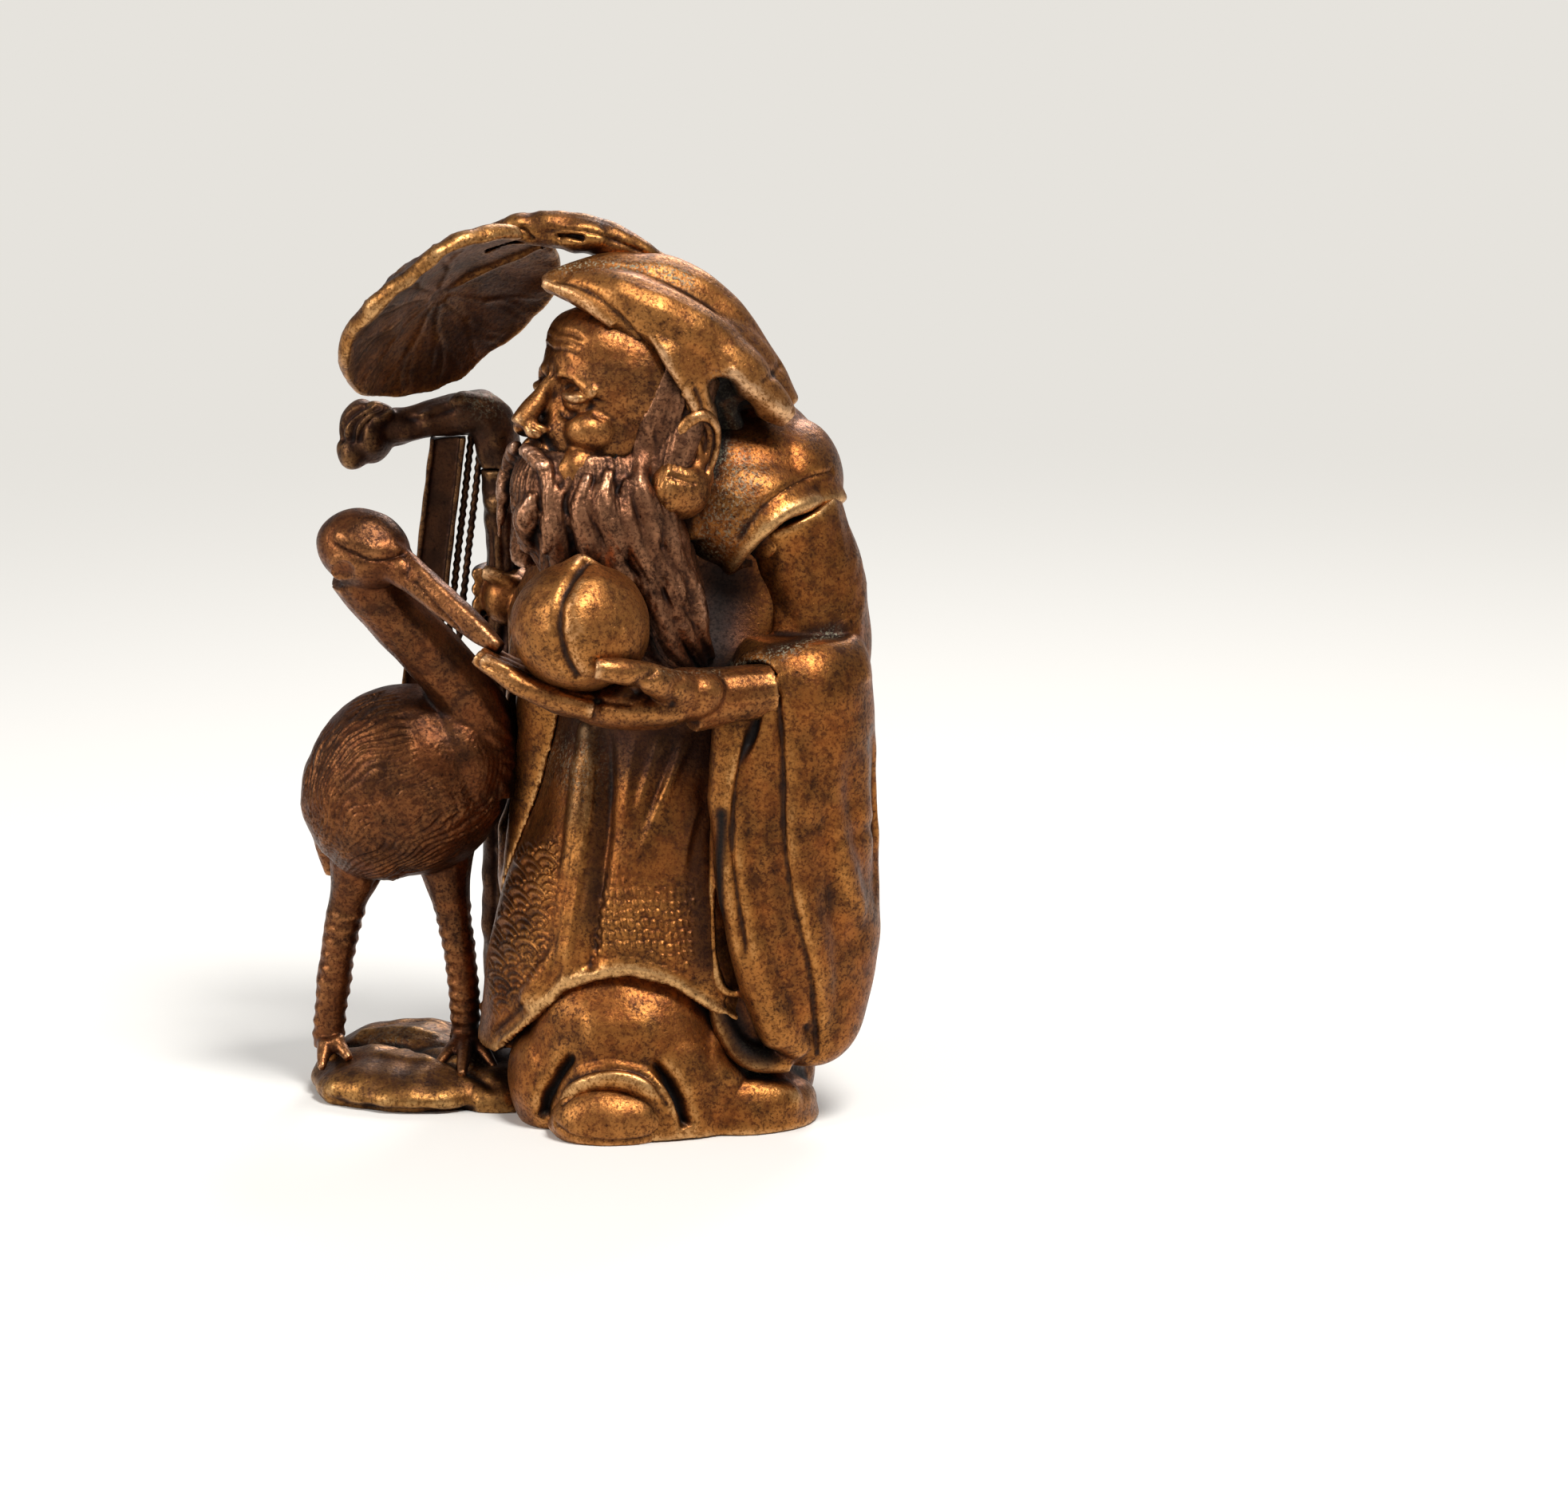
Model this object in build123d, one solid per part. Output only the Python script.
"""A small cast-metal okimono: a bearded sage with a cap, a peach in one hand and a staff in the other,
a crane at the side and a broad leaf arching over the head.

It is cast in sections that are pinned together and soldered, so every section is its own solid. Each section
is cut back from its neighbour by the solder seam, and round pins run through blind holes in both. Sizes are in
millimetres. X runs to the right of the displayed front, Y runs away from the viewer and Z runs up. The forms
are placed from the centre of the group and moved at the end, so that the origin is the middle of the base.
"""
from build123d import *
from math import cos, radians, sin
import os

# ---------------------------------------------------------------- seams and pins
SEAM = 0.05              # solder gap between two sections
PIN_RADIUS = 0.40
PIN_LENGTH = 2.4
PIN_FIT = 0.03           # radial clearance of a pin in its hole
PIN_END_GAP = 0.10       # the hole is this much longer than the pin, at each end

# ---------------------------------------------------------------- robe and underskirt
ROBE_HEM_HEIGHT = 3.6
ROBE_HEM_WIDTH = 17.6
ROBE_HEM_DEPTH = 15.8
ROBE_CHEST_HEIGHT = 24.0
ROBE_CHEST_WIDTH = 13.4
ROBE_CHEST_DEPTH = 12.0
SHOULDER_HEIGHT = 33.2
SHOULDER_WIDTH = 10.0
SHOULDER_DEPTH = 9.6
COLLAR_HEIGHT = 36.0
COLLAR_WIDTH = 6.0
UNDERSKIRT_WIDTH = 15.6
UNDERSKIRT_DEPTH = 13.4
UNDERSKIRT_HEIGHT = 7.6
LAP_WIDTH = 11.6         # the underskirt's swell that lifts the robe's hem in front
LAP_DEPTH = 10.6
LAP_HEIGHT = 8.9
KNEE_WIDTH = 5.6
KNEE_DEPTH = 6.4
TRAIN_WIDTH = 9.2
TRAIN_DEPTH = 8.6
TRAIN_HEIGHT = 3.4        # stays under the robe's hem

BACK_FOLD_RADIUS = 1.1
BACK_FOLD_RISE = 0.6     # how far a fold of the robe's back stands out of it
BACK_FOLD_TOP = 28.6
BACK_FOLDS = ((8.9, 9.9), (6.6, 6.8), (4.2, 3.4), (1.9, -0.1))                     # x at top and hem
EDGE_RADIUS = 0.75
EDGE_RISE = 0.4          # how far the front panel's rolled edge stands out
EDGE_RUN = ((0.1, 21.0), (-0.5, 15.0), (-1.3, 9.6), (-3.0, 6.9))                    # its (x, z) down the front

# ---------------------------------------------------------------- shoe
SHOE_WIDTH = 6.2
SHOE_LENGTH = 6.6
SHOE_HEIGHT = 2.7
SOLE_HEIGHT = 0.55
SOLE_EDGE = 0.25         # the sole stands this much proud of the upper

# ---------------------------------------------------------------- head, beard and cap
HEAD_CENTRE = Vector(2.6, 0.4, 39.9)
FACE_TURN = 62.0         # degrees from the viewer towards the crane
FACE_LIFT = 13.0         # degrees the face looks up
HEAD_LENGTH = 10.8       # back of the head to the brow
HEAD_BREADTH = 9.0
HEAD_HEIGHT = 9.2
JAW_LENGTH = 7.8
JAW_BREADTH = 7.2
JAW_HEIGHT = 8.8
NOSE_LENGTH = 3.2
NOSE_WIDTH = 1.9
EAR_HEIGHT = 5.0
EAR_WIDTH = 2.5
EAR_THICKNESS = 1.5
NECK_RADIUS = 2.6
BEARD_TOP = 37.4
BEARD_TIP = 23.4
BEARD_WIDTH = 9.0
BEARD_DEPTH = 6.0
CAP_THICKNESS = 0.75
CAP_CROWN = 0.15         # the crown stands this much further from the skull
CAP_NAPE = 0.6           # and the nape this much
CAP_LOBE_RADIUS = 1.7
CAP_DRAPE_RADIUS = 2.1

# ---------------------------------------------------------------- cape round the shoulders
CAPE_WIDTH = 12.4
CAPE_DEPTH = 11.8
CAPE_HEIGHT = 6.4
CAPE_TILT = 13.0         # degrees, the arm side rides higher

# ---------------------------------------------------------------- sleeves, hands and peach
SLEEVE_WIDTH = 8.6
SLEEVE_DEPTH = 9.4
SLEEVE_TOP = 26.4
SLEEVE_TIP = 3.3
CUFF_SLOT_HEIGHT = 17.0  # the cuff's hanging mouth
CUFF_SLOT_WIDTH = 1.5
CUFF_SLOT_DEPTH = 3.0
CUFF_SLOT_TURN = 12.0    # degrees, its inner end lies further from the viewer
CUFF_ROLL_RADIUS = 1.05  # the rolled edge that hangs in front of the mouth, and the fold beside it
CUFF_FOLD_RADIUS = 1.25
VALLEY_HEIGHT = 10.0     # the deep fold on the sleeve's side
VALLEY_WIDTH = 3.0
VALLEY_REACH = 1.5       # the fold's cutter reaches this far in from the sleeve's side
UPPER_ARM_RADIUS = 3.3
RIGHT_SLEEVE_WIDTH = 5.4
RIGHT_SLEEVE_DEPTH = 8.6
RIGHT_SLEEVE_TIP = 9.0
WRIST_RADIUS = 1.55
PALM_WIDTH = 4.4
PALM_SHARE = 0.52        # thickness of the palm as a share of its width
FINGER_RADIUS = 0.58
FINGER_PITCH = 0.98
FINGERS = 4
THUMB_RADIUS = 0.66
GRIP_RADIUS = 1.65
PEACH_CENTRE = Vector(-0.3, -7.5, 28.2)
PEACH_WIDTH = 7.1
PEACH_HEIGHT = 7.2

# ---------------------------------------------------------------- staff and hanging tablet
STAFF_X = -5.0
STAFF_Y = 9.0
STAFF_RADIUS = 1.05
STAFF_BEND_HEIGHT = 33.4
STAFF_HEAD_REACH = 7.2
STAFF_KNOB_RADIUS = 1.45
TABLET_WIDTH = 1.9
TABLET_THICKNESS = 0.6
TABLET_LENGTH = 14.0
TABLET_BORDER = 0.26     # width and rise of the border strips
CORD_RADIUS = 0.16
CORD_GAP = 0.55
CORD_RISE = 0.6          # the cords run this far up into the crook
CORD_DROP = 0.8          # and end this much above the tablet's foot

# ---------------------------------------------------------------- leaf
LEAF_CENTRE = Vector(-7.7, 3.0, 43.3)
LEAF_RADIUS = 6.5
LEAF_THICKNESS = 1.0
LEAF_DISH = 1.6          # how far the middle stands back from the rim
STEM_RADIUS = 1.1

# ---------------------------------------------------------------- crane and ground
CRANE_CENTRE = Vector(-9.9, 3.5, 17.4)
CRANE_LENGTH = 11.2
CRANE_DEPTH = 9.6
CRANE_HEIGHT = 10.8
CRANE_NECK_RADIUS = 1.4
CRANE_HEAD_LENGTH = 5.2
CRANE_HEAD_WIDTH = 3.9
BEAK_RADIUS = 0.92
BEAK_TIP_RADIUS = 0.28
CRANE_LEG_RADIUS = 0.9
TOE_RADIUS = 0.42
TOE_ARCH = 0.3           # the middle of a toe stands this much above the line to its tip
GROUND_WIDTH = 12.0
GROUND_DEPTH = 13.6
GROUND_HEIGHT = 2.5


# ---------------------------------------------------------------- shapes that several sections share
LATITUDES = (-80, -58, -30, 0, 30, 58, 80)   # degrees, the rings of a stretched ball


def ellipsoid(centre, semi, plane=Plane.XY):
    """A ball stretched to three half sizes, with a small flat in place of each pole."""
    base = Plane(origin=centre, x_dir=plane.x_dir, z_dir=plane.z_dir)
    rings = []
    for latitude in LATITUDES:
        share, rise = cos(radians(latitude)), sin(radians(latitude))
        rings.append(base * Pos(0, 0, semi[2] * rise) * Ellipse(semi[0] * share, semi[1] * share))
    return loft(rings)


def drum(rings, grow=0.0):
    """A loft through level ellipses, each (height, centre x, centre y, half width, half depth)."""
    low, high = rings[0][0], rings[-1][0]
    faces = []
    for z, x, y, half_width, half_depth in rings:
        level = z - grow if z == low else z + grow if z == high else z
        faces.append(Pos(x, y, level) * Ellipse(half_width + grow, half_depth + grow))
    return loft(faces)


ROUND_END = ((0.55, 0.80), (0.90, 0.42), (1.00, 0.12))   # reach and radius of an end's rings, in radii


def limb(points, radii, grow=0.0, round_start=True, round_end=True, flatten=1.0, side=Vector(0, 1, 0)):
    """A loft along a path through rings with domed ends.

    Each ring is a circle, or an ellipse whose radius lies along side and whose other half is its share flatten,
    which is one number for the whole limb or one for each point.
    """
    points = [Vector(*p) for p in points]
    thick = [r + grow for r in radii]
    shares = flatten if isinstance(flatten, list) else [flatten] * len(points)
    tangents = []
    for i in range(len(points)):
        before, after = points[max(i - 1, 0)], points[min(i + 1, len(points) - 1)]
        tangents.append((after - before).normalized())
    stations = list(zip(points, thick, tangents, shares))
    if round_start:
        first = [(points[0] - tangents[0] * thick[0] * shares[0] * reach, thick[0] * size, tangents[0], shares[0])
                 for reach, size in ROUND_END]
        stations = first[::-1] + stations
    if round_end:
        stations += [(points[-1] + tangents[-1] * thick[-1] * shares[-1] * reach, thick[-1] * size, tangents[-1],
                      shares[-1]) for reach, size in ROUND_END]
    faces = []
    for place, radius, tangent, share in stations:
        across = side - tangent * side.dot(tangent)
        ring = Ellipse(radius, radius * share) if share < 1.0 else Circle(radius)
        faces.append(Plane(origin=place, x_dir=across, z_dir=tangent) * ring)
    return loft(faces)


def ridge(places, radius, grow=0.0):
    """A long rounded fold: round bars from place to place, with a ball at each of them."""
    thick = radius + grow
    places = [Vector(*p) for p in places]
    solid = Pos(*places[0]) * Sphere(thick)
    for a, b in zip(places, places[1:]):
        bar = Plane(origin=(a + b) / 2, z_dir=b - a) * Cylinder(thick, (b - a).length)
        solid += bar
        solid += Pos(*b) * Sphere(thick)
    return solid


# ---------------------------------------------------------------- the head's own axes
FORWARD = Vector(-sin(radians(FACE_TURN)) * cos(radians(FACE_LIFT)),
                 -cos(radians(FACE_TURN)) * cos(radians(FACE_LIFT)),
                 sin(radians(FACE_LIFT)))
HEAD_LEFT = Vector(0, 0, 1).cross(FORWARD).normalized()
HEAD_UP = FORWARD.cross(HEAD_LEFT).normalized()
HEAD_PLANE = Plane(origin=HEAD_CENTRE, x_dir=FORWARD, z_dir=HEAD_UP)


def in_head(forward, left, up):
    """A point given along the head's own axes, from the middle of the skull."""
    return HEAD_CENTRE + FORWARD * forward + HEAD_LEFT * left + HEAD_UP * up


# ---------------------------------------------------------------- robe, underskirt and shoe
def robe_rings():
    hem_width, hem_depth = ROBE_HEM_WIDTH / 2, ROBE_HEM_DEPTH / 2
    chest_width, chest_depth = ROBE_CHEST_WIDTH / 2, ROBE_CHEST_DEPTH / 2
    return [
        (ROBE_HEM_HEIGHT, 2.6, 2.0, hem_width, hem_depth),
        (8.0, 3.0, 2.0, hem_width - 0.2, hem_depth - 0.1),
        (16.0, 4.0, 2.3, (hem_width + chest_width) / 2 - 0.4, (hem_depth + chest_depth) / 2),
        (ROBE_CHEST_HEIGHT, 5.0, 2.8, chest_width, chest_depth),
        (30.0, 5.6, 3.2, chest_width - 0.5, chest_depth - 0.4),
        (SHOULDER_HEIGHT, 5.8, 3.4, SHOULDER_WIDTH / 2, SHOULDER_DEPTH / 2),
        (COLLAR_HEIGHT, 5.4, 3.2, COLLAR_WIDTH / 2, COLLAR_WIDTH / 2),
    ]


def on_robe(x, z, side, depth):
    """A point this deep under the robe's back (side 1) or front (side -1)."""
    rings = robe_rings()
    low, high = next((a, b) for a, b in zip(rings, rings[1:]) if a[0] <= z <= b[0])
    share = (z - low[0]) / (high[0] - low[0])
    middle_x, middle_y, half_width, half_depth = (a + (b - a) * share for a, b in zip(low[1:], high[1:]))
    reach = half_depth * (1 - ((x - middle_x) / half_width) ** 2) ** 0.5
    return (x, middle_y + side * (reach - depth), z)


def robe_body(grow=0.0):
    """The robe: its drum, the folds that fall down its back and the rolled edge of its front panel."""
    solid = drum(robe_rings(), grow)
    hem = ROBE_HEM_HEIGHT + BACK_FOLD_RADIUS + SEAM
    for x_top, x_hem in BACK_FOLDS:
        run = [on_robe(x, z, 1, BACK_FOLD_RADIUS - BACK_FOLD_RISE) for x, z in ((x_top, BACK_FOLD_TOP), (x_hem, hem))]
        solid += ridge(run, BACK_FOLD_RADIUS, grow)
    run = [on_robe(x, z, -1, EDGE_RADIUS - EDGE_RISE) for x, z in EDGE_RUN]
    return solid + ridge(run, EDGE_RADIUS, grow)


def underskirt(grow=0.0):
    """The hem below the robe: a drum, the lap that swells in front, the knee's fold and the train."""
    half_width, half_depth = UNDERSKIRT_WIDTH / 2, UNDERSKIRT_DEPTH / 2
    rings = [
        (0.0, 4.2, 1.9, half_width - 0.6, half_depth - 0.6),
        (1.6, 4.2, 1.9, half_width, half_depth),
        (4.2, 4.1, 1.9, half_width - 0.1, half_depth - 0.1),
        (UNDERSKIRT_HEIGHT, 3.8, 2.0, half_width - 1.2, half_depth - 1.0),
    ]
    lap = ellipsoid((2.9, -1.9, 0), (LAP_WIDTH / 2 + grow, LAP_DEPTH / 2 + grow, LAP_HEIGHT + grow))
    knee = ellipsoid((-0.6, -2.6, 2.6), (KNEE_WIDTH / 2 + grow, KNEE_DEPTH / 2 + grow, KNEE_DEPTH / 2 + grow))
    train = ellipsoid((7.6, -1.5, 0), (TRAIN_WIDTH / 2 + grow, TRAIN_DEPTH / 2 + grow, TRAIN_HEIGHT + grow))
    above_floor = Pos(0, 0, 10 - grow) * Box(60, 60, 20)
    return (drum(rings, grow) + lap + knee + train) & above_floor


def shoe(grow=0.0):
    """The toe of one shoe under the hem: a domed upper on a flat sole."""
    above_floor = Pos(0, 0, 10 - grow) * Box(60, 60, 20)
    upper = ellipsoid((0.95, -4.7, SOLE_HEIGHT), (SHOE_WIDTH / 2 - SOLE_EDGE + grow, SHOE_LENGTH / 2 - SOLE_EDGE + grow,
                                                  SHOE_HEIGHT - SOLE_HEIGHT + grow)) & above_floor
    sole = [Pos(0.95, -4.7, level) * Ellipse(SHOE_WIDTH / 2 + grow, SHOE_LENGTH / 2 + grow)
            for level in (-grow, SOLE_HEIGHT + grow)]
    return upper + loft(sole)


# ---------------------------------------------------------------- head, beard, cap and cape
def head(grow=0.0):
    skull = ellipsoid(HEAD_CENTRE, (HEAD_LENGTH / 2 + grow, HEAD_BREADTH / 2 + grow, HEAD_HEIGHT / 2 + grow),
                      HEAD_PLANE)
    jaw = ellipsoid(in_head(1.5, 0, -3.2), (JAW_LENGTH / 2 + grow, JAW_BREADTH / 2 + grow, JAW_HEIGHT / 2 + grow),
                    HEAD_PLANE)
    nose = ellipsoid(in_head(4.9, 0, -2.0), (1.5 + grow, NOSE_WIDTH / 2 + grow, NOSE_LENGTH / 2 + grow), HEAD_PLANE)
    solid = skull + jaw + nose
    for side in (-1, 1):
        ear = ellipsoid(in_head(-1.3, side * (HEAD_BREADTH / 2 - 0.4), -3.6),
                        (EAR_WIDTH / 2 + grow, EAR_THICKNESS / 2 + grow, EAR_HEIGHT / 2 + grow), HEAD_PLANE)
        solid += ear
    neck = limb([in_head(-0.6, 0, -2.5), Vector(4.8, 2.2, 36.0), Vector(5.2, 2.8, 33.4)],
                [NECK_RADIUS + 0.5, NECK_RADIUS, NECK_RADIUS], grow, round_start=False, round_end=False)
    return solid + neck


def beard(grow=0.0):
    """The beard: it wraps the jaw, falls on the chest and thins to a tip behind the fruit."""
    half_width, half_depth = BEARD_WIDTH / 2, BEARD_DEPTH / 2
    rings = [
        (BEARD_TIP, 4.6, -2.9, 0.7, 0.5),
        (BEARD_TIP + 1.8, 3.9, -2.8, half_width - 2.2, half_depth - 1.7),
        (28.2, 2.5, -2.7, half_width - 0.7, half_depth - 1.0),
        (31.2, 1.2, -2.5, half_width - 0.1, half_depth - 0.4),
        (34.2, 0.3, -2.1, half_width - 0.1, half_depth + 0.1),
        (36.2, 0.2, -1.6, half_width - 0.8, half_depth),
        (BEARD_TOP, 0.6, -1.2, half_width - 2.2, half_depth - 0.9),
    ]
    return drum(rings, grow)


CAP_PLANE_TURN = 51.0    # degrees the cap's rim leans back from level, seen from the side of the head


def cap(grow=0.0):
    """A soft cap: a shell over the skull above its leaning rim, a lobe behind and a drape on the nape."""
    wall = CAP_THICKNESS + grow
    dome = ellipsoid(in_head(-0.4, 0, 0.2), (HEAD_LENGTH / 2 + wall + CAP_NAPE, HEAD_BREADTH / 2 + wall,
                                             HEAD_HEIGHT / 2 + wall + CAP_CROWN), HEAD_PLANE)
    lean = radians(CAP_PLANE_TURN)
    rim_normal = HEAD_UP * cos(lean) - FORWARD * sin(lean)
    rim = Plane(origin=in_head(-0.2, 0, 0), x_dir=HEAD_LEFT, z_dir=rim_normal)
    shell = dome & (rim * Pos(0, 0, 20 - grow) * Box(40, 40, 40))
    lobe = limb([(6.0, -0.5, 42.2), (8.4, 0.0, 40.6), (10.2, 0.4, 39.0)],
                [CAP_LOBE_RADIUS + 1.0, CAP_LOBE_RADIUS + 0.5, CAP_LOBE_RADIUS - 0.4], grow, flatten=0.72)
    drape = limb([(6.6, 0.4, 41.4), (7.6, 0.6, 38.2), (7.2, 0.4, 35.8)],
                 [CAP_DRAPE_RADIUS, CAP_DRAPE_RADIUS - 0.2, CAP_DRAPE_RADIUS - 0.9], grow, flatten=0.8)
    return shell + lobe + drape


def cape(grow=0.0):
    half_width, half_depth = CAPE_WIDTH / 2, CAPE_DEPTH / 2
    base = Vector(7.2, 2.9, 32.0)
    tilt = Plane(origin=base, x_dir=(cos(radians(CAPE_TILT)), 0, sin(radians(CAPE_TILT))),
                 z_dir=(-sin(radians(CAPE_TILT)), 0, cos(radians(CAPE_TILT))))
    rings = [
        (-grow, 0.0, half_width + grow, half_depth + grow),
        (1.4, 0.1, half_width + grow, half_depth + grow),
        (3.4, 0.4, half_width - 0.9 + grow, half_depth - 0.8 + grow),
        (5.2, 0.6, half_width - 2.3 + grow, half_depth - 2.2 + grow),
        (CAPE_HEIGHT + grow, 0.6, half_width - 3.8 + grow, half_depth - 3.6 + grow),
    ]
    faces = [tilt * Pos(shift, 0, rise) * Ellipse(a, b) for rise, shift, a, b in rings]
    return loft(faces)


# ---------------------------------------------------------------- sleeves and hands
def left_sleeve(grow=0.0):
    """The arm that carries the peach: upper arm, elbow and the long hanging cuff."""
    half_width, half_depth = SLEEVE_WIDTH / 2, SLEEVE_DEPTH / 2
    rings = [
        (SLEEVE_TIP, 11.6, -2.8, 1.0, 0.9),
        (SLEEVE_TIP + 0.8, 11.6, -2.4, 2.2, 2.2),
        (6.6, 11.6, -1.7, half_width - 1.0, half_depth - 1.5),
        (11.0, 11.3, -1.3, half_width - 0.1, half_depth - 0.6),
        (16.0, 11.1, -1.3, half_width, half_depth - 0.3),
        (21.0, 11.0, -1.7, half_width - 0.1, half_depth - 0.4),
        (24.6, 11.0, -2.0, half_width - 0.4, half_depth - 0.7),
        (SLEEVE_TOP, 11.1, -1.7, half_width - 1.4, half_depth - 1.9),
    ]
    arm = limb([(9.4, 2.4, 33.0), (10.8, 2.0, 29.6), (11.7, 0.8, 25.6), (11.6, -0.4, 22.0)],
               [UPPER_ARM_RADIUS - 0.3, UPPER_ARM_RADIUS, UPPER_ARM_RADIUS, UPPER_ARM_RADIUS - 0.4], grow)
    mouth = ellipsoid((7.6, -4.6, 13.6), (CUFF_SLOT_DEPTH - grow, CUFF_SLOT_WIDTH / 2 - grow,
                                          CUFF_SLOT_HEIGHT / 2 - grow), Plane.XY.rotated((0, 0, CUFF_SLOT_TURN)))
    roll = ridge([(7.5, -5.4, 21.6), (7.3, -5.6, 18.4), (7.9, -5.7, 13.0), (8.9, -5.6, 8.4), (10.0, -5.0, 5.6)],
                 CUFF_ROLL_RADIUS, grow)
    bulge = ridge([(9.9, -4.9, 21.4), (9.9, -5.1, 17.0), (10.3, -5.1, 12.0), (11.0, -4.6, 7.4)], CUFF_FOLD_RADIUS, grow)
    side = 11.1 + half_width
    valley = ellipsoid((side, -3.0, 16.6), (VALLEY_REACH - grow, VALLEY_WIDTH / 2 - grow, VALLEY_HEIGHT / 2 - grow))
    return drum(rings, grow) + arm + roll + bulge - mouth - valley


def right_sleeve(grow=0.0):
    """The arm that holds the staff, on the far side."""
    half_width, half_depth = RIGHT_SLEEVE_WIDTH / 2, RIGHT_SLEEVE_DEPTH / 2
    rings = [
        (RIGHT_SLEEVE_TIP, -3.4, 4.8, 0.9, 1.4),
        (RIGHT_SLEEVE_TIP + 1.2, -3.2, 4.8, half_width - 1.0, half_depth - 1.4),
        (16.0, -2.4, 4.8, half_width, half_depth - 0.2),
        (22.0, -2.0, 4.8, half_width, half_depth),
        (26.4, -1.8, 5.0, half_width - 0.5, half_depth - 0.6),
        (28.2, -1.4, 5.2, half_width - 1.3, half_depth - 1.8),
    ]
    arm = limb([(2.4, 4.2, 32.2), (0.2, 5.0, 29.6), (-1.6, 5.8, 26.8), (-2.6, 7.2, 25.6)],
               [2.6, 2.8, 2.5, 2.1], grow)
    return drum(rings, grow) + arm


def left_hand(grow=0.0):
    """Wrist and palm under the fruit, laid-together fingers, and the thumb that steadies it."""
    half_palm = PALM_WIDTH / 2
    solid = limb([(8.9, -5.0, 24.0), (7.4, -5.6, 23.9), (5.6, -6.3, 23.7), (3.6, -7.0, 23.6), (1.2, -7.4, 23.7),
                  (-1.4, -7.5, 24.2)],
                 [WRIST_RADIUS, WRIST_RADIUS, WRIST_RADIUS + 0.3, half_palm, half_palm, half_palm - 0.3], grow,
                 flatten=[0.98, 0.96, 0.84, 0.60, PALM_SHARE, PALM_SHARE])
    for i in range(FINGERS):
        across = (i - (FINGERS - 1) / 2) * FINGER_PITCH
        short = 0.35 * abs(i - 1.3)
        solid += limb([(-0.8, -7.5 + across, 24.2), (-2.8, -7.4 + across, 24.9),
                       (-4.6 + short / 2, -7.1 + across * 0.9, 25.7), (-5.9 + short, -6.8 + across * 0.8, 26.3)],
                      [FINGER_RADIUS + 0.12, FINGER_RADIUS + 0.06, FINGER_RADIUS, FINGER_RADIUS - 0.08], grow)
    thumb = limb([(5.6, -7.2, 24.2), (4.2, -9.0, 25.2), (2.6, -10.6, 26.0), (0.8, -11.2, 26.4)],
                 [THUMB_RADIUS + 0.45, THUMB_RADIUS + 0.25, THUMB_RADIUS + 0.05, THUMB_RADIUS - 0.08], grow)
    return solid + thumb


def right_hand(grow=0.0):
    """A fist closed round the staff."""
    fist = ellipsoid((STAFF_X + 0.4, STAFF_Y - 0.2, 26.4), (GRIP_RADIUS + 0.1 + grow, GRIP_RADIUS + 0.2 + grow,
                                                            GRIP_RADIUS + grow))
    wrist = limb([(STAFF_X + 0.8, STAFF_Y - 0.5, 26.3), (-2.4, 7.1, 25.8)], [1.3, 1.4], grow, round_start=False)
    return fist + wrist


def peach(grow=0.0):
    """A fruit that is broad below and drawn to a point above, with a flat where the palm holds it."""
    wide, high = PEACH_WIDTH / 2, PEACH_HEIGHT / 2
    profile = ((-0.97, 0.34), (-0.80, 0.66), (-0.45, 0.94), (-0.05, 1.0), (0.35, 0.86), (0.68, 0.54),
               (0.88, 0.24), (1.0, 0.06))
    rings = [(PEACH_CENTRE.Z + high * rise, PEACH_CENTRE.X, PEACH_CENTRE.Y, wide * share, wide * share)
             for rise, share in profile]
    return drum(rings, grow)


# ---------------------------------------------------------------- staff, its head and what hangs from it
def staff(grow=0.0):
    foot = GROUND_HEIGHT * 0.4
    return limb([(STAFF_X + 0.3, STAFF_Y, foot), (STAFF_X, STAFF_Y, 12.0), (STAFF_X + 0.15, STAFF_Y, 22.0),
                 (STAFF_X, STAFF_Y, STAFF_BEND_HEIGHT)],
                [STAFF_RADIUS, STAFF_RADIUS + 0.1, STAFF_RADIUS - 0.05, STAFF_RADIUS], grow,
                round_start=False, round_end=False)


def staff_head(grow=0.0):
    """The gnarled crook: it bends over from the pole and ends in a knotted knob."""
    far = STAFF_X - STAFF_HEAD_REACH
    crook = limb([(STAFF_X, STAFF_Y, STAFF_BEND_HEIGHT + SEAM), (STAFF_X - 0.2, STAFF_Y, STAFF_BEND_HEIGHT + 1.6),
                  (STAFF_X - 1.6, STAFF_Y, STAFF_BEND_HEIGHT + 3.0), (STAFF_X - 4.0, STAFF_Y, STAFF_BEND_HEIGHT + 2.6),
                  (far + 0.4, STAFF_Y, STAFF_BEND_HEIGHT + 2.1)],
                 [STAFF_RADIUS, STAFF_RADIUS + 0.1, STAFF_RADIUS + 0.15, STAFF_RADIUS - 0.05, STAFF_RADIUS], grow,
                 round_start=False)
    knob = ellipsoid((far, STAFF_Y, STAFF_BEND_HEIGHT + 2.0), (STAFF_KNOB_RADIUS - 0.1 + grow, STAFF_KNOB_RADIUS + grow,
                                                              STAFF_KNOB_RADIUS + 0.35 + grow))
    return crook + knob


def tablet_plane():
    """The tablet hangs under the crook and leans a little to the crane's side."""
    lean = radians(7.0)
    top = Vector(STAFF_X - 2.8, STAFF_Y, STAFF_BEND_HEIGHT + 2.9 - STAFF_RADIUS)
    return Plane(origin=top, x_dir=(cos(lean), 0, -sin(lean)), z_dir=(0, -1, 0))


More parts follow.
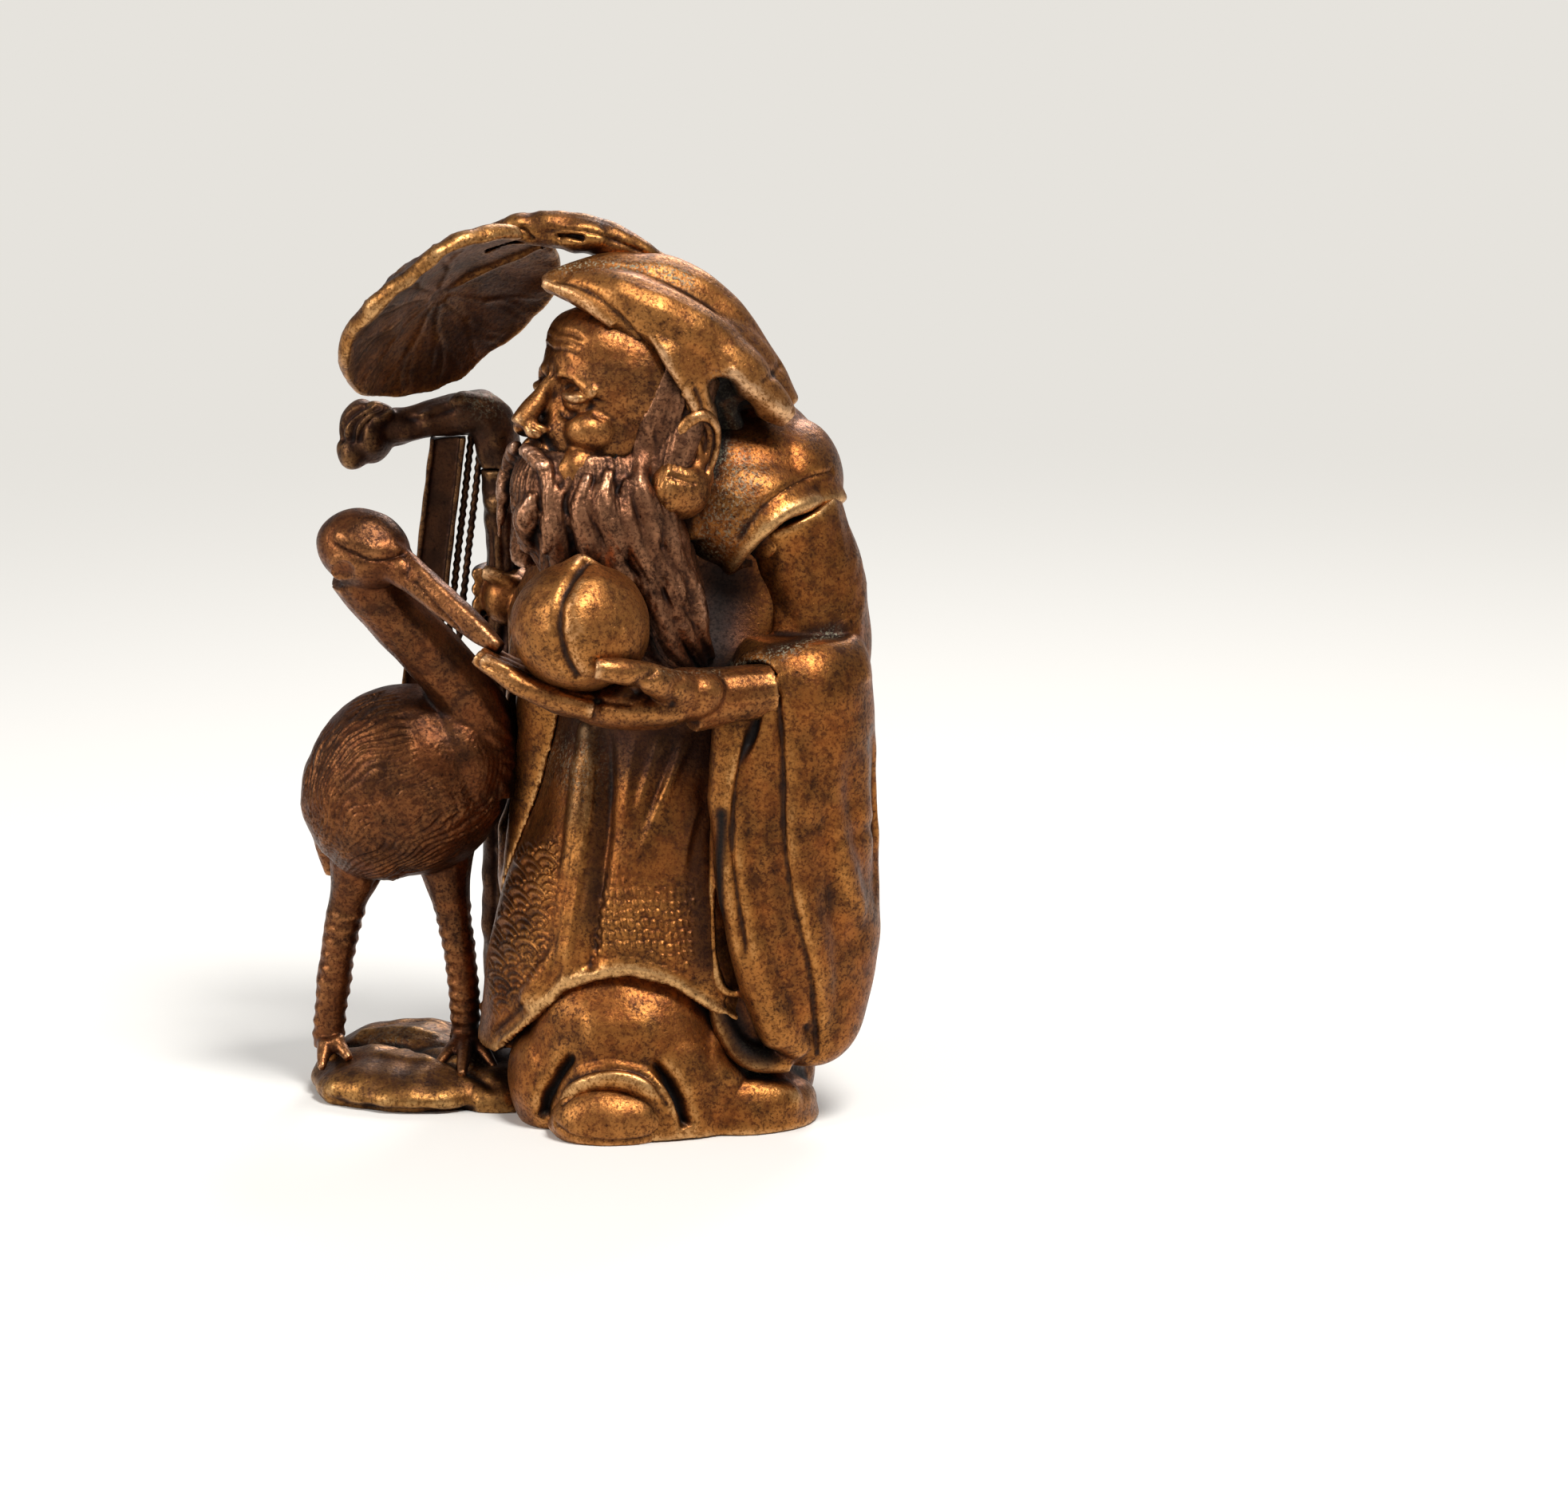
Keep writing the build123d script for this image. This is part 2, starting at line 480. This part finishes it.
def hanging_tablet(grow=0.0):
    plate = Pos(0, -TABLET_LENGTH / 2, 0) * Box(TABLET_WIDTH + 2 * grow, TABLET_LENGTH + 2 * grow,
                                                TABLET_THICKNESS + 2 * grow)
    for side in (-1, 1):
        strip = Box(TABLET_BORDER + 2 * grow, TABLET_LENGTH + 2 * grow, TABLET_THICKNESS + 2 * TABLET_BORDER + 2 * grow)
        plate += Pos(side * (TABLET_WIDTH - TABLET_BORDER) / 2, -TABLET_LENGTH / 2, 0) * strip
    return tablet_plane() * plate


def tablet_cords(grow=0.0):
    """Two cast cords beside the tablet, hung from the crook."""
    first = TABLET_WIDTH / 2 + SEAM + CORD_RADIUS + 0.1
    length = TABLET_LENGTH - CORD_DROP
    strand = Rot(90, 0, 0) * Cylinder(CORD_RADIUS + grow, length + 2 * grow)
    strands = [Pos(shift, CORD_RISE - length / 2, 0) * strand for shift in (first, first + CORD_GAP)]
    return tablet_plane() * (strands[0] + strands[1])


# ---------------------------------------------------------------- leaf over the head
LEAF_BACK = Vector(-0.51, 0.53, 0.66).normalized()
LEAF_ALONG = (Vector(0.79, 0, 0.61) - LEAF_BACK * Vector(0.79, 0, 0.61).dot(LEAF_BACK)).normalized()


def leaf(grow=0.0):
    """A round dished leaf, hollow towards the head."""
    rim, mid = LEAF_RADIUS + grow, LEAF_DISH
    back = ThreePointArc((0, mid + grow), (rim * 0.62, mid * 0.66 + grow), (rim, 0))
    edge = ThreePointArc((rim, 0), (rim + 0.25, -LEAF_THICKNESS / 2), (rim, -LEAF_THICKNESS - grow))
    front = ThreePointArc((rim, -LEAF_THICKNESS - grow), (rim * 0.6, mid * 0.62 - LEAF_THICKNESS - grow),
                          (0, mid - LEAF_THICKNESS - grow))
    closing = Line((0, mid - LEAF_THICKNESS - grow), (0, mid + grow))
    profile = Plane.XZ * make_face(Wire([back, edge, front, closing]))
    dish = revolve(profile, Axis.Z, 360)
    return Plane(origin=LEAF_CENTRE, x_dir=LEAF_ALONG, z_dir=LEAF_BACK) * dish


def leaf_stem(grow=0.0):
    """The stalk: it leaves the leaf's edge, swells to a knot and lies as a sheath on the crown of the cap."""
    r = STEM_RADIUS
    return limb([(-5.6, 1.4, 47.0), (-4.4, 1.1, 47.6), (-2.8, 1.0, 47.75), (-1.0, 1.0, 47.6), (1.0, 1.1, 47.2),
                 (3.0, 1.3, 46.3), (5.0, 1.5, 45.1)],
                [r - 0.5, r - 0.45, r - 0.15, r, r, r - 0.1, r - 0.35], grow)


# ---------------------------------------------------------------- crane
def crane_body(grow=0.0):
    trunk = ellipsoid(CRANE_CENTRE, (CRANE_LENGTH / 2 + grow, CRANE_DEPTH / 2 + grow, CRANE_HEIGHT / 2 + grow))
    breast = ellipsoid(CRANE_CENTRE + Vector(3.0, -0.6, 1.2), (2.7 + grow, 3.2 + grow, 4.0 + grow))
    return trunk + breast


def crane_neck(grow=0.0):
    r = CRANE_NECK_RADIUS
    return limb([(-5.9, 2.7, 20.2), (-6.7, 2.2, 22.6), (-8.6, 1.2, 25.2), (-10.8, 0.0, 27.6), (-12.6, -1.0, 29.6)],
                [r + 0.6, r + 0.2, r - 0.05, r, r + 0.1], grow)


BEAK_ROOT = Vector(-10.2, -2.6, 30.6)
BEAK_TIP = Vector(-4.4, -6.2, 26.4)


def crane_head(grow=0.0):
    along = (BEAK_TIP - BEAK_ROOT).normalized()
    skull_plane = Plane(origin=(0, 0, 0), x_dir=(0.94, -0.24, -0.25), z_dir=(0.25, 0, 0.94))
    skull = ellipsoid((-11.9, -1.9, 31.0), (CRANE_HEAD_LENGTH / 2 + grow, CRANE_HEAD_WIDTH / 2 + grow,
                                            CRANE_HEAD_WIDTH / 2 + 0.15 + grow), skull_plane)
    beak = limb([BEAK_ROOT - along * 0.8, BEAK_ROOT + along * 2.0, BEAK_ROOT + along * 5.0, BEAK_TIP],
                [BEAK_RADIUS + 0.25, BEAK_RADIUS, BEAK_RADIUS - 0.2, BEAK_TIP_RADIUS], grow)
    return skull + beak


def crane_tail(grow=0.0):
    return limb([(-13.2, 6.2, 16.4), (-14.0, 7.2, 13.9), (-14.2, 7.6, 11.6)],
                [1.9, 1.5, 0.7], grow, flatten=0.6)


def crane_leg(hip, knee, shank, ankle, toes, grow):
    """A leg from thigh to ankle, and its toes spread on the ground."""
    r = CRANE_LEG_RADIUS
    leg = limb([hip, knee, shank, ankle], [r + 0.55, r + 0.1, r - 0.1, r - 0.1], grow)
    for tip in toes:
        reach = Vector(*tip) - Vector(*ankle)
        mid = Vector(*ankle) + reach * 0.55 + Vector(0, 0, TOE_ARCH)
        leg += limb([ankle, mid, tip], [TOE_RADIUS + 0.2, TOE_RADIUS + 0.05, TOE_RADIUS - 0.12], grow)
    return leg


def outer_leg(grow=0.0):
    return crane_leg((-12.5, 4.4, 13.4), (-13.3, 4.5, 10.6), (-14.1, 4.7, 6.6), (-14.4, 4.8, 2.7),
                     [(-14.7, 2.6, 1.6), (-13.2, 3.0, 2.4), (-14.0, 7.6, 1.9)], grow)


def inner_leg(grow=0.0):
    return crane_leg((-8.0, 4.2, 13.2), (-7.6, 4.2, 10.2), (-7.0, 4.2, 6.2), (-6.9, 4.2, 3.1),
                     [(-7.0, 0.3, 1.9), (-5.2, 1.9, 2.3), (-7.8, 7.0, 2.6)], grow)


def ground(grow=0.0):
    """The swelling of earth or rock that the crane stands on."""
    half_width, half_depth = GROUND_WIDTH / 2, GROUND_DEPTH / 2
    rings = [
        (0.0, -9.4, 5.4, half_width - 0.5, half_depth - 0.5),
        (0.7, -9.4, 5.4, half_width, half_depth),
        (1.6, -9.2, 5.5, half_width - 0.7, half_depth - 0.8),
        (GROUND_HEIGHT, -8.8, 5.6, half_width - 2.4, half_depth - 2.6),
    ]
    bridge = [
        (0.0, -4.2, 3.4, 2.6, 3.0),
        (1.2, -4.2, 3.4, 2.7, 3.1),
        (2.0, -4.2, 3.4, 2.0, 2.4),
    ]
    return drum(rings, grow) + drum(bridge, grow)


# ---------------------------------------------------------------- how the sections fit
FORMS = {
    "robe_body": robe_body, "underskirt": underskirt, "shoe": shoe, "head": head, "beard": beard, "cap": cap,
    "shoulder_cape": cape, "left_sleeve": left_sleeve, "right_sleeve": right_sleeve, "left_hand": left_hand,
    "right_hand": right_hand, "peach": peach, "staff": staff, "staff_head": staff_head,
    "hanging_tablet": hanging_tablet, "tablet_cords": tablet_cords, "leaf": leaf, "leaf_stem": leaf_stem,
    "crane_body": crane_body, "crane_neck": crane_neck, "crane_head": crane_head, "crane_tail": crane_tail,
    "crane_outer_leg": outer_leg, "crane_inner_leg": inner_leg, "ground": ground,
}

# Each section, and the neighbours that it is cut back from.
SEATS = {
    "robe_body": ["underskirt", "head"],
    "underskirt": ["shoe"],
    "beard": ["head", "robe_body", "peach", "left_hand", "shoulder_cape"],
    "cap": ["head", "shoulder_cape", "robe_body"],
    "shoulder_cape": ["head", "robe_body"],
    "left_sleeve": ["robe_body", "underskirt", "shoulder_cape", "left_hand", "beard"],
    "right_sleeve": ["robe_body", "shoulder_cape", "beard", "staff", "right_hand", "head", "crane_body",
                     "crane_neck"],
    "left_hand": ["peach", "crane_head"],
    "right_hand": ["staff"],
    "hanging_tablet": ["staff_head"],
    "tablet_cords": ["staff_head", "right_hand"],
    "leaf": ["leaf_stem"],
    "leaf_stem": ["cap"],
    "crane_neck": ["crane_body", "crane_head"],
    "crane_tail": ["crane_body"],
    "crane_outer_leg": ["crane_body", "ground"],
    "crane_inner_leg": ["crane_body", "ground", "robe_body"],
    "crane_body": ["robe_body"],
    "staff": ["ground"],
    "staff_head": ["staff"],
    "ground": ["underskirt", "robe_body"],
}


def largest(shape, least_share=0.04):
    """The solids of a cut section, without the crumbs that a cut can leave."""
    solids = shape.solids()
    biggest = max(s.volume for s in solids)
    kept = [s for s in solids if s.volume > least_share * biggest]
    return kept[0] if len(kept) == 1 else Compound(kept)


# Pins: the sections that each passes through, a point on the seam, and the way the pin lies.
PINS = {
    "neck": (("head", "robe_body"), (5.0, 2.6, 32.8), (0, 0, 1)),
    "crown": (("leaf_stem", "cap", "head"), (3.0, 1.3, 45.1), (0, 0, 1)),
    "cape": (("shoulder_cape", "robe_body"), (10.6, 3.2, 34.0), (1, 0, 0.15)),
    "beard": (("beard", "robe_body"), (2.4, -2.2, 28.6), (0, 1, 0)),
    "left_shoulder": (("left_sleeve", "robe_body"), (11.5, 1.4, 28.0), (1, 0, 0)),
    "left_cuff": (("left_sleeve", "robe_body"), (11.1, 0.0, 14.0), (1, 0, 0)),
    "right_shoulder": (("right_sleeve", "robe_body"), (-1.4, 4.0, 26.0), (1, 0, 0)),
    "left_wrist": (("left_hand", "left_sleeve"), (10.3, -4.5, 24.05), (1, 0.35, 0)),
    "peach": (("peach", "left_hand"), (-0.3, -7.5, 24.7), (0, 0, 1)),
    "right_wrist": (("right_hand", "right_sleeve"), (-1.7, 6.5, 25.6), (0.3, -1, -0.25)),
    "hem_front": (("underskirt", "robe_body"), (3.4, -1.0, 8.6), (0, 0, 1)),
    "hem_back": (("underskirt", "robe_body"), (3.8, 5.0, 7.6), (0, 0, 1)),
    "shoe": (("shoe", "underskirt"), (1.0, -3.6, 2.7), (0, 0, 1)),
    "ground": (("ground", "underskirt"), (-3.6, 2.6, 0.9), (1, -0.1, 0)),
    "staff_foot": (("staff", "ground"), (STAFF_X - 0.2, STAFF_Y, 1.9), (0, 0, 1)),
    "staff_head": (("staff_head", "staff"), (STAFF_X, STAFF_Y, STAFF_BEND_HEIGHT), (0, 0, 1)),
    "crane_neck": (("crane_neck", "crane_body"), (-6.6, 2.25, 22.6), (-0.6, -0.3, 1)),
    "crane_head": (("crane_head", "crane_neck"), (-12.2, -0.9, 29.4), (-0.4, -0.2, 1)),
    "crane_tail": (("crane_tail", "crane_body"), (-13.7, 6.8, 14.9), (0.2, -0.3, 1)),
    "outer_hip": (("crane_outer_leg", "crane_body"), (-12.4, 4.4, 12.9), (0, 0, 1)),
    "inner_hip": (("crane_inner_leg", "crane_body"), (-8.0, 4.2, 12.4), (0, 0, 1)),
    "outer_foot": (("crane_outer_leg", "ground"), (-14.1, 4.8, 1.75), (-0.2, 0, 1)),
    "inner_foot": (("crane_inner_leg", "ground"), (-6.9, 4.2, 2.5), (0, 0, 1)),
}


def pin(place, direction, radius, length):
    along = Plane(origin=place, z_dir=direction)
    return along * Cylinder(radius, length)


def build():
    grown = {}

    def cutter(name):
        if name not in grown:
            grown[name] = FORMS[name](SEAM)
        return grown[name]

    sections = {}
    for name, form in FORMS.items():
        solid = form()
        for neighbour in SEATS.get(name, []):
            solid = solid - cutter(neighbour)
        sections[name] = solid
    pins = []
    for joined, place, direction in PINS.values():
        hole = pin(place, direction, PIN_RADIUS + PIN_FIT, PIN_LENGTH + 2 * PIN_END_GAP)
        for name in joined:
            sections[name] = sections[name] - hole
        pins.append(pin(place, direction, PIN_RADIUS, PIN_LENGTH))
    sections = {name: largest(solid) for name, solid in sections.items()}
    sections["joining_pins"] = Compound(pins)
    return sections


def main():
    sections = build()
    box = Compound(list(sections.values())).bounding_box()
    shift = Vector(-(box.min.X + box.max.X) / 2, -(box.min.Y + box.max.Y) / 2, -box.min.Z)
    print("group size", box.size, "shift", shift)
    os.makedirs("parts", exist_ok=True)
    for name, solid in sections.items():
        export_step(Pos(*shift) * solid, f"parts/{name}.step")


if __name__ == "__main__":
    main()
